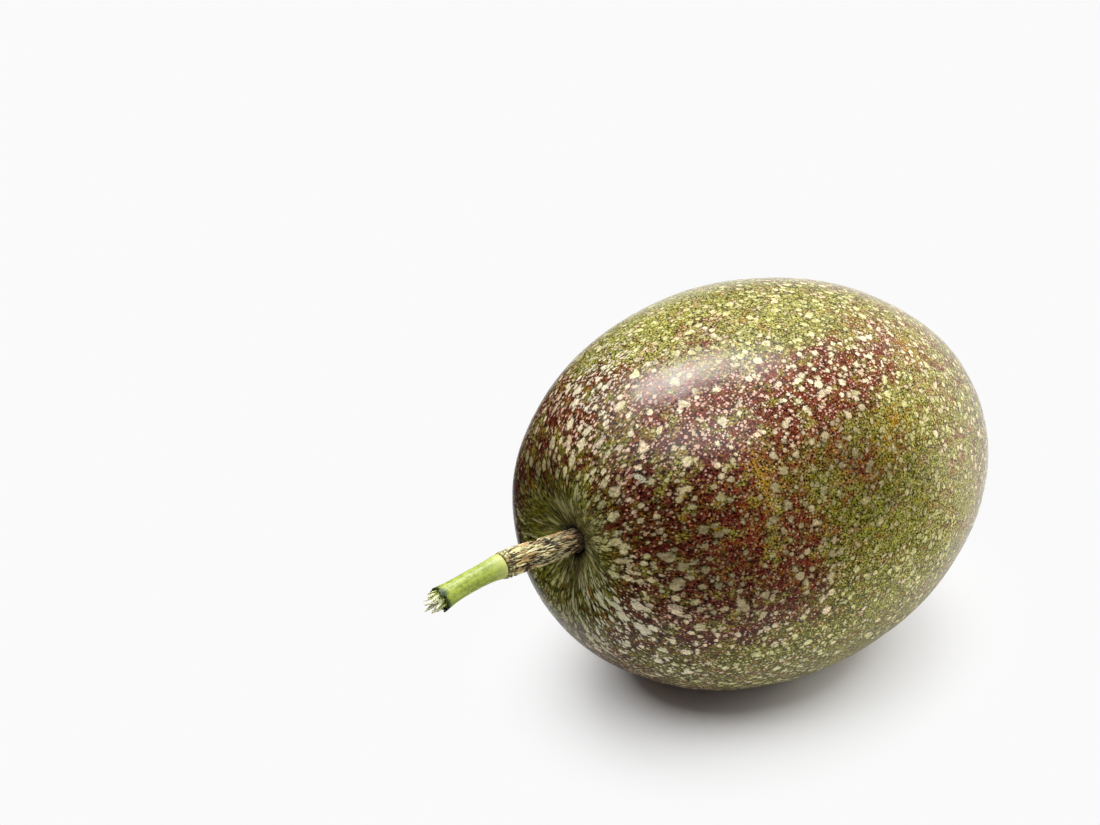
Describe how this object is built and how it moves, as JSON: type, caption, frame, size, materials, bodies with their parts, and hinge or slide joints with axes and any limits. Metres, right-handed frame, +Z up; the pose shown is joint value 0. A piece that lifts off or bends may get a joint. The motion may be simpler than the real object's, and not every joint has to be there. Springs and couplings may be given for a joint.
{
  "type": "passion fruit",
  "caption": "Whole passion fruit lying on its side: egg-shaped speckled rind with a dimpled stem end, a corky stalk stub and a fresh green stalk length torn at its end",
  "frame": {"origin": "middle of the small flat spot that the fruit lies on", "axes": "+Z up; the fruit's long axis lies over X with the stalk towards -X and its end raised about 5 degrees; +Y to the side"},
  "size_m": [0.105, 0.062, 0.0617],
  "materials": {
    "rind": "waxy semi-gloss, maroon and olive mottling under cream speckles",
    "cork": "dry, straw and brown, split lengthwise",
    "green_stem": "smooth fresh green, satin",
    "pith": "pale torn fibres, matt"
  },
  "bodies": {
    "root": {"fruit": "rind", "corky_stalk": "cork", "green_stalk": "green_stem"}
  },
  "joints": []
}
